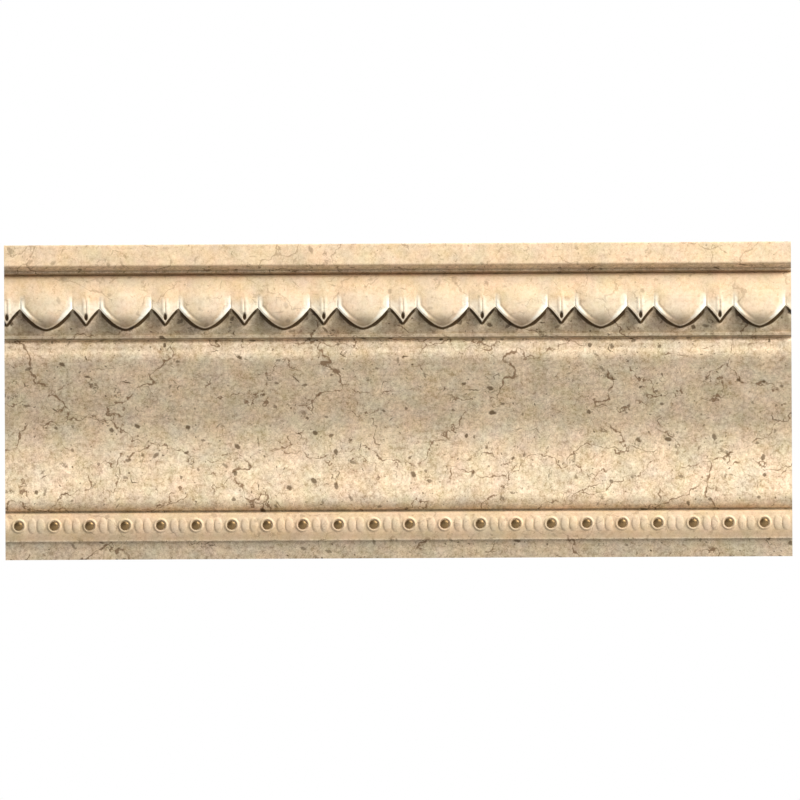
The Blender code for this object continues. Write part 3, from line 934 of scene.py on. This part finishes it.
# Thin wandering cracks that come and go, along the edges of crooked cells
def cracksGroup():
    tree, given, result = shaderGroup(
        "stoneCracks",
        {
            "Vector": ("Vector", None), "Size": ("Float", 15.0), "Width": ("Float", 0.2),
            "Stretch": ("Float", 1.5), "Sparse": ("Float", 0.5), "Jitter": ("Float", 10.0),
        },
        ["Cracks"],
    )
    jitter = noise(tree, given["Vector"], maths(tree, "MULTIPLY", given["Size"], 0.45), 4.0, 0.5)
    push = vectorMaths(tree, "SUBTRACT", jitter.outputs["Color"], (0.5, 0.5, 0.5))
    moved = vectorMaths(tree, "ADD", given["Vector"], scaled(tree, push, given["Jitter"]))
    narrowed = maths(tree, "DIVIDE", 1.0, given["Stretch"])
    stretch = addNode(tree, "ShaderNodeCombineXYZ", {0: narrowed, 1: 1.0})
    stretched = vectorMaths(tree, "MULTIPLY", moved, stretch.outputs[0])
    cell = addNode(
        tree, "ShaderNodeTexVoronoi",
        {"Vector": stretched, "Scale": maths(tree, "DIVIDE", 1.0, given["Size"])},
        voronoi_dimensions="2D", feature="DISTANCE_TO_EDGE",
    )
    away = maths(tree, "MULTIPLY", cell.outputs["Distance"], given["Size"])
    beside = vectorMaths(tree, "ADD", given["Vector"], (8.0, 15.0, 0.0))
    thick = noise(tree, beside, 3.0, 2.0, 0.6)
    reach = maths(tree, "MULTIPLY", given["Width"], ramp(tree, thick.outputs[0], 0.3, 0.7, 0.3, 1.7))
    line = maths(tree, "SUBTRACT", 1.0, ramp(tree, away, maths(tree, "MULTIPLY", reach, 0.25), reach))
    apart = vectorMaths(tree, "ADD", given["Vector"], (57.0, 31.0, 0.0))
    where = noise(tree, apart, maths(tree, "MULTIPLY", given["Size"], 0.8), 2.0, 0.5)
    kept = ramp(tree, where.outputs[0], given["Sparse"], maths(tree, "ADD", given["Sparse"], 0.07))
    feed(tree, result["Cracks"], maths(tree, "MULTIPLY", line, kept))
    return tree


# Short dark marks, one at most to each cell, each turned its own way. A bend makes ticks of them.
def marksGroup():
    tree, given, result = shaderGroup(
        "stoneMarks",
        {
            "Vector": ("Vector", None), "Spacing": ("Float", 5.0), "Length": ("Float", 1.0),
            "Width": ("Float", 0.4), "Bend": ("Float", 0.0), "Share": ("Float", 0.5),
            "Upright": ("Float", 1.0),
        },
        ["Marks", "Rings"],
    )
    rough = noise(tree, given["Vector"], 0.8, 2.0, 0.5)
    push = vectorMaths(tree, "SUBTRACT", rough.outputs["Color"], (0.5, 0.5, 0.5))
    moved = vectorMaths(tree, "ADD", given["Vector"], scaled(tree, push, 0.7))
    perCell = scaled(tree, moved, maths(tree, "DIVIDE", 1.0, given["Spacing"]))
    cell = addNode(
        tree, "ShaderNodeTexVoronoi", {"Vector": perCell, "Scale": 1.0}, voronoi_dimensions="2D",
    )
    away = vectorMaths(tree, "SUBTRACT", perCell, cell.outputs["Position"])
    away = scaled(tree, away, given["Spacing"])
    chance = addNode(tree, "ShaderNodeSeparateColor", {0: cell.outputs["Color"]}).outputs
    angle = maths(tree, "MULTIPLY", maths(tree, "SUBTRACT", chance[0], 0.5), given["Upright"])
    angle = maths(tree, "MULTIPLY", angle, math.tau)
    turned = addNode(
        tree, "ShaderNodeVectorRotate", {"Vector": away, "Angle": angle}, rotation_type="Z_AXIS",
    ).outputs[0]
    parts = addNode(tree, "ShaderNodeSeparateXYZ", {0: turned}).outputs
    grown = maths(tree, "ADD", 0.45, maths(tree, "MULTIPLY", chance[2], 1.1))
    alongMark = maths(tree, "DIVIDE", parts[0], maths(tree, "MULTIPLY", given["Length"], grown))
    bend = maths(tree, "MULTIPLY", maths(tree, "ABSOLUTE", parts[0]), given["Bend"])
    bent = maths(tree, "SUBTRACT", parts[1], bend)
    widened = maths(tree, "ADD", 0.4, maths(tree, "MULTIPLY", chance[0], 0.8))
    acrossMark = maths(tree, "DIVIDE", bent, maths(tree, "MULTIPLY", given["Width"], widened))
    squares = [maths(tree, "MULTIPLY", part, part) for part in (alongMark, acrossMark)]
    radius = maths(tree, "SQRT", maths(tree, "ADD", *squares))
    chosen = maths(tree, "LESS_THAN", chance[1], given["Share"])
    spot = maths(tree, "SUBTRACT", 1.0, ramp(tree, radius, 0.55, 1.05))
    depth = maths(tree, "ADD", 0.5, maths(tree, "MULTIPLY", chance[0], 0.5))
    feed(tree, result["Marks"], maths(tree, "MULTIPLY", maths(tree, "MULTIPLY", spot, depth), chosen))
    fromRing = maths(tree, "ABSOLUTE", maths(tree, "SUBTRACT", radius, 0.8))
    ring = maths(tree, "SUBTRACT", 1.0, ramp(tree, fromRing, 0.1, 0.3))
    feed(tree, result["Rings"], maths(tree, "MULTIPLY", ring, chosen))
    return tree


# Sandy grain around zero
def grainGroup():
    tree, given, result = shaderGroup(
        "sandyGrain",
        {"Vector": ("Vector", None), "Size": ("Float", 0.6), "Gain": ("Float", 1.0)},
        ["Grain"],
    )
    scale = maths(tree, "DIVIDE", 1.0, given["Size"])
    inputs = {"Vector": given["Vector"], "Scale": scale, "Detail": 2.0, "Roughness": 0.7}
    grain = addNode(tree, "ShaderNodeTexNoise", inputs, noise_dimensions="3D")
    shade = maths(tree, "SUBTRACT", grain.outputs[0], 0.5)
    feed(tree, result["Grain"], maths(tree, "MULTIPLY", shade, given["Gain"]))
    return tree


effects = {
    "mottle": mottleGroup(),
    "cracks": cracksGroup(),
    "marks": marksGroup(),
    "grain": grainGroup(),
}


# One of the shared effects placed in a material with its own values
def addEffect(tree, name, vector, **values):
    node = addNode(tree, "ShaderNodeGroup", node_tree=effects[name])
    feed(tree, node.inputs["Vector"], vector)
    for label, value in values.items():
        feed(tree, node.inputs[label], value)
    return node.outputs


def newMaterial(name):
    material = bpy.data.materials.new(name)
    material.use_nodes = True
    tree = material.node_tree
    return material, tree, tree.nodes["Principled BSDF"]


marble = {
    "peach": (0.755, 0.560, 0.372, 1.0),
    "greenGrey": (0.648, 0.535, 0.362, 1.0),
    "cloudSize": 16.0,
    "cloudGain": 0.5,
    "patchSize": 5.5,
    "patchGain": 0.6,
    "speckSize": 1.4,
    "speckGain": 1.0,
    "grainSize": 0.45,
    "grainGain": 0.95,
    "netSize": 1.9,
    "netDepth": 0.2,
    "crackColour": (0.24, 0.145, 0.075, 1.0),
    "markColour": (0.115, 0.069, 0.029, 1.0),
    "washAndShadeTone": 0.042,
    "washAndShadeHue": (1.62, 1.0, 0.35),  # thick patina is brown, thin painted shade nearly grey
    # a warm tint painted where shade falls
    "warmShadeTintColour": (1.05, 1.0, 0.955, 1.0),
    "warmQuiet": (0.98, 0.93, 0.875, 1.0),
    # pale paint, partly painted highlights
    "rimPaintAndHighlight": (0.92, 0.88, 0.74, 1.0),
    "gilding": (0.18, 0.115, 0.052, 1.0),
    "roughness": 0.5,
    "specular": 0.2,
    "pearlSmoothness": 0.06,  # how much less rough the gilding is
    "bump": 0.25,
}


# Cracks of the print: where the pattern starts, strength and sizes
printedCracks = (
    ((0.0, 0.0), 0.9, {"Size": 21.0, "Width": 0.25, "Stretch": 2.2, "Sparse": 0.41, "Jitter": 15.0}),
    ((119.0, 4.0), 0.9, {"Size": 17.0, "Width": 0.22, "Stretch": 1.5, "Sparse": 0.53, "Jitter": 12.0}),
    ((19.0, 44.0), 0.48, {"Size": 7.0, "Width": 0.15, "Stretch": 1.1, "Sparse": 0.58, "Jitter": 5.0}),
)

# Marks of the print: where the pattern starts, the share of its cells with a mark, and sizes
printedMarks = {
    "dots": ((0.0, 0.0), 0.4, {"Spacing": 3.6, "Length": 0.34, "Width": 0.26}),
    "pits": ((5.0, 3.0), 0.52, {"Spacing": 8.0, "Length": 1.05, "Width": 0.8}),
    "dashes": ((71.0, 37.0), 0.3, {"Spacing": 11.0, "Length": 1.5, "Width": 0.22}),
    "ticks": ((9.0, 17.0), 0.35, {"Spacing": 17.0, "Length": 1.6, "Width": 0.24, "Bend": 0.8}),
    "blotches": ((27.0, 63.0), 0.45, {"Spacing": 19.0, "Length": 2.2, "Width": 1.2}),
    "fossils": ((31.0, 21.0), 0.25, {"Spacing": 24.0, "Length": 1.6, "Width": 1.1}),
}


def highest(tree, *values):
    top = values[0]
    for value in values[1:]:
        top = maths(tree, "MAXIMUM", top, value)
    return top


def shifted(tree, vector, start):
    return vectorMaths(tree, "ADD", vector, (*start, 0.0))


# The stone's own shade, without cracks or marks: cloudy, speckled and sandy, with a fine net
def stoneShade(tree, vector, speck):
    size = marble
    cloud = addEffect(tree, "mottle", vector, Size=size["cloudSize"], Gain=size["cloudGain"])["Shade"]
    patchPlace = shifted(tree, vector, (3.0, 91.0))
    patch = addEffect(tree, "mottle", patchPlace, Size=size["patchSize"], Gain=size["patchGain"])["Shade"]
    worms = noise(tree, shifted(tree, vector, (41.0, 67.0)), size["netSize"], 2.0, 0.5)
    fromWorm = maths(tree, "ABSOLUTE", maths(tree, "SUBTRACT", worms.outputs[0], 0.5))
    net = ramp(tree, fromWorm, 0.0, 0.055, -size["netDepth"], size["netDepth"] * 0.4)
    return maths(tree, "ADD", maths(tree, "ADD", cloud, patch), maths(tree, "ADD", speck, net))


def crackShares(tree, vector):
    cracks = []
    for start, strength, sizes in printedCracks:
        lines = addEffect(tree, "cracks", shifted(tree, vector, start), **sizes)["Cracks"]
        cracks.append(maths(tree, "MULTIPLY", lines, strength))
    return highest(tree, *cracks)


# Crisp marks, and soft ones broken up by the speckle, both crowding together here and there
def markShares(tree, vector, speckle):
    herds = noise(tree, shifted(tree, vector, (61.0, 83.0)), 17.0, 2.0, 0.5)
    crowd = ramp(tree, herds.outputs[0], 0.36, 0.62, 0.2, 1.9)
    broken = ramp(tree, speckle, -0.12, 0.1, 0.75, 0.1)
    marks = []
    for name, (start, share, sizes) in printedMarks.items():
        chosen = maths(tree, "MULTIPLY", crowd, share)
        made = addEffect(tree, "marks", shifted(tree, vector, start), Share=chosen, **sizes)
        found = made["Rings" if name == "fossils" else "Marks"]
        strength = broken if name in ("blotches", "fossils") else 0.9
        marks.append(maths(tree, "MULTIPLY", found, strength))
    return highest(tree, *marks)


# Patina and painted shade take up light: colour times a tone to the power of how thick they lie
def washedAndShadedColour(tree, colour, washAndShade):
    tone = maths(tree, "POWER", marble["washAndShadeTone"], washAndShade)
    thick = maths(tree, "MULTIPLY", washAndShade, washAndShade)
    absorbed = [maths(tree, "MULTIPLY", tone, maths(tree, "POWER", hue, thick)) for hue in marble["washAndShadeHue"]]
    washedAndShaded = addNode(tree, "ShaderNodeCombineColor", dict(enumerate(absorbed))).outputs[0]
    return mixColour(tree, 1.0, colour, washedAndShaded, "MULTIPLY")


def marbleSkin():
    size = marble
    material, tree, shader = newMaterial("marbleSkin")
    uv = addNode(tree, "ShaderNodeUVMap", uv_map="unrolled").outputs[0]
    vector = scaled(tree, uv, 1 / mm)

    def layer(name):
        node = addNode(tree, "ShaderNodeAttribute", attribute_name=name, attribute_type="GEOMETRY")
        return node.outputs["Fac"]

    def tinted(colour, share, tint):
        return mixColour(tree, share, colour, mixColour(tree, 1.0, colour, tint, "MULTIPLY"))

    pearl, gold, quiet = layer("pearl"), layer("gold"), layer("quiet")
    lively = maths(tree, "SUBTRACT", 1.0, maths(tree, "MULTIPLY", quiet, 0.6))
    tint = addEffect(tree, "mottle", shifted(tree, vector, (211.0, 7.0)), Size=9.0, Gain=2.4)["Shade"]
    tintShare = maths(tree, "ADD", 0.5, tint, clamp=True)
    colour = mixColour(tree, tintShare, size["greenGrey"], size["peach"])
    colour = tinted(colour, quiet, size["warmQuiet"])
    # a warm tint painted where shade falls
    colour = tinted(colour, layer("warmShadeTint"), size["warmShadeTintColour"])
    speckPlace = shifted(tree, vector, (77.0, 13.0))
    speck = addEffect(tree, "mottle", speckPlace, Size=size["speckSize"], Gain=size["speckGain"])["Shade"]
    grain = addEffect(tree, "grain", vector, Size=size["grainSize"], Gain=size["grainGain"])["Grain"]
    speckle = maths(tree, "ADD", speck, grain)
    shade = maths(tree, "MULTIPLY", stoneShade(tree, vector, speckle), lively)
    warmer = addEffect(tree, "mottle", shifted(tree, vector, (140.0, 50.0)), Size=7.0, Gain=0.3)["Shade"]
    shades = {
        0: maths(tree, "ADD", 1.0, maths(tree, "MULTIPLY", shade, 0.86)),
        1: maths(tree, "ADD", 1.0, shade),
        2: maths(tree, "ADD", maths(tree, "ADD", 1.0, warmer), maths(tree, "MULTIPLY", shade, 1.15)),
    }
    shadeColour = addNode(tree, "ShaderNodeCombineColor", shades).outputs[0]
    colour = mixColour(tree, 1.0, colour, shadeColour, "MULTIPLY")
    cracks = crackShares(tree, vector)
    colour = mixColour(tree, maths(tree, "MULTIPLY", cracks, lively), colour, size["crackColour"])
    spots = maths(tree, "MULTIPLY", markShares(tree, vector, speckle), lively)
    colour = mixColour(tree, spots, colour, size["markColour"])
    # patina and painted shade
    colour = washedAndShadedColour(tree, colour, layer("washAndShade"))
    # pale paint, partly painted highlights
    cover = maths(tree, "MULTIPLY", pearl, ramp(tree, speck, -0.2, 0.1, 0.65, 1.0))
    colour = mixColour(tree, cover, colour, size["rimPaintAndHighlight"])
    colour = mixColour(tree, gold, colour, size["gilding"])
    rough = maths(tree, "ADD", size["roughness"], maths(tree, "MULTIPLY", speck, 0.4))
    rough = maths(tree, "SUBTRACT", rough, maths(tree, "MULTIPLY", gold, size["pearlSmoothness"]))
    height = maths(tree, "SUBTRACT", speckle, maths(tree, "MAXIMUM", cracks, spots))
    relief = {"Strength": size["bump"], "Distance": 0.0001, "Height": height}
    feed(tree, shader.inputs["Base Color"], colour)
    feed(tree, shader.inputs["Roughness"], rough)
    feed(tree, shader.inputs["Metallic"], maths(tree, "MULTIPLY", gold, 0.95))
    feed(tree, shader.inputs["Normal"], addNode(tree, "ShaderNodeBump", relief).outputs[0])
    shader.inputs["Specular IOR Level"].default_value = size["specular"]
    return material


core = {
    "light": (0.62, 0.52, 0.395, 1.0),
    "dark": (0.48, 0.39, 0.28, 1.0),
    "cellSize": 1.1,
    "roughness": 0.75,
    "bump": 0.35,
}


# The bare foamed core on the cut ends, the back and the top
def foamedCore():
    material, tree, shader = newMaterial("foamedCore")
    place = addNode(tree, "ShaderNodeTexCoord").outputs["Object"]
    vector = scaled(tree, place, 1 / mm)
    cells = addEffect(tree, "grain", vector, Size=core["cellSize"], Gain=2.6)["Grain"]
    drawn = addNode(tree, "ShaderNodeMapping", {"Vector": vector, "Scale": (0.03, 1.0, 1.0)}).outputs[0]
    lines = addEffect(tree, "grain", drawn, Size=2.4, Gain=1.6)["Grain"]
    both = maths(tree, "ADD", 0.5, maths(tree, "ADD", cells, lines), clamp=True)
    rough = maths(tree, "ADD", core["roughness"], maths(tree, "MULTIPLY", cells, 0.1))
    relief = {"Strength": core["bump"], "Distance": 0.0002, "Height": both}
    feed(tree, shader.inputs["Base Color"], mixColour(tree, both, core["dark"], core["light"]))
    feed(tree, shader.inputs["Roughness"], rough)
    feed(tree, shader.inputs["Normal"], addNode(tree, "ShaderNodeBump", relief).outputs[0])
    return material


def buildMoulding():
    skin = marbleSkin()
    tree = repeatTree()
    eggStrip = repeatedMesh(eggUnitMesh(), tree, eggPitch, eggMiddle, skin)
    beadStrip = repeatedMesh(beadUnitMesh(), tree, beadPitch, beadMiddle, skin)
    print("carved strips", len(eggStrip.polygons), len(beadStrip.polygons))
    body = mouldingBody(eggStrip, beadStrip)
    print("open edges", sum(not edge.is_manifold for edge in body.edges))
    mesh = bpy.data.meshes.new("corniceMoulding")
    body.to_mesh(mesh)
    body.free()
    mesh.materials.append(skin)
    mesh.materials.append(foamedCore())
    mesh.shade_smooth()
    mesh.set_sharp_from_angle(angle=math.radians(moulding["smoothAngle"]))
    addFinish(mesh)
    mesh.calc_loop_triangles()
    print("moulding triangles", len(mesh.loop_triangles))
    piece = bpy.data.objects.new("corniceMoulding", mesh)
    scene.collection.objects.link(piece)
    return piece


piece = buildMoulding()
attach(piece, "root")
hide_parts("cornice_moulding")

camera = {
    "pixelsPerMm": 3.148,
    "frame": 800,
    "middle": (398.2, 400.8),  # where the moulding's middle lies in the picture
    "roll": 0.30,
    "distance": 1.5,
}


# The photograph shows no perspective at all, so the camera has parallel rays
def addCamera():
    data = bpy.data.cameras.new("frontCamera")
    data.type = "ORTHO"
    data.ortho_scale = camera["frame"] / camera["pixelsPerMm"] * mm
    view = bpy.data.objects.new("frontCamera", data)
    scene.collection.objects.link(view)
    halfFrame = camera["frame"] / 2
    aside = (halfFrame - camera["middle"][0]) / camera["pixelsPerMm"] * mm
    up = (camera["middle"][1] - halfFrame) / camera["pixelsPerMm"] * mm
    view.location = (aside, -camera["distance"], up)
    view.rotation_euler = (math.radians(90), math.radians(camera["roll"]), 0)
    scene.camera = view


studio = {
    "ambient": 0.375,
    "keyPower": 77.5,
    "keySize": 1.3,
    "keyDistance": 2.0,
    "keyElevation": 34.0,
    "keyAzimuth": 50.0,
    "backPower": 14.0,
    "floorRadius": 1.6,
    "floorLevel": -0.42,
    "floorColour": (0.86, 0.855, 0.84, 1.0),
}


def addLight(name, power, size, azimuth, elevation):
    data = bpy.data.lights.new(name, "AREA")
    data.energy = power
    data.size = size
    light = bpy.data.objects.new(name, data)
    scene.collection.objects.link(light)
    turn, rise = math.radians(azimuth), math.radians(elevation)
    towards = Vector((math.sin(turn) * math.cos(rise), -math.cos(turn) * math.cos(rise), math.sin(rise)))
    light.location = towards * studio["keyDistance"]
    light.rotation_euler = (-towards).to_track_quat("-Z", "Y").to_euler()


# White all round for the camera, and softer as a light
def addWorld():
    world = bpy.data.worlds.new("studioWorld")
    world.use_nodes = True
    tree = world.node_tree
    soft = tree.nodes["Background"]
    soft.inputs["Color"].default_value = (1, 1, 1, 1)
    soft.inputs["Strength"].default_value = studio["ambient"]
    white = addNode(tree, "ShaderNodeBackground", {"Color": (1, 1, 1, 1), "Strength": 1.0})
    path = addNode(tree, "ShaderNodeLightPath")
    mix = addNode(
        tree, "ShaderNodeMixShader",
        {0: path.outputs["Is Camera Ray"], 1: soft.outputs[0], 2: white.outputs[0]},
    )
    tree.links.new(mix.outputs[0], tree.nodes["World Output"].inputs["Surface"])
    scene.world = world


def addFloor():
    ring = bmesh.new()
    bmesh.ops.create_circle(ring, cap_ends=True, radius=studio["floorRadius"], segments=96)
    bmesh.ops.translate(ring, verts=ring.verts, vec=(0, 0, studio["floorLevel"]))
    mesh = bpy.data.meshes.new("studioFloor")
    ring.to_mesh(mesh)
    ring.free()
    material, tree, shader = newMaterial("paleFloor")
    place = addNode(tree, "ShaderNodeTexCoord").outputs["Object"]
    speckle = addEffect(tree, "grain", place, Size=0.02, Gain=0.06)["Grain"]
    shader.inputs["Base Color"].default_value = studio["floorColour"]
    feed(tree, shader.inputs["Roughness"], maths(tree, "ADD", 0.8, speckle))
    mesh.materials.append(material)
    floor = bpy.data.objects.new("studioFloor", mesh)
    floor.visible_diffuse = False  # so that it throws no light back under the mouldings
    scene.collection.objects.link(floor)


addCamera()
addWorld()
addLight("keyLight", studio["keyPower"], studio["keySize"], studio["keyAzimuth"], studio["keyElevation"])
addLight("backLight", studio["backPower"], studio["keySize"], 180.0, 35.0)
addFloor()
scene.view_settings.view_transform = "Standard"
print("camera, lights and floor are set")
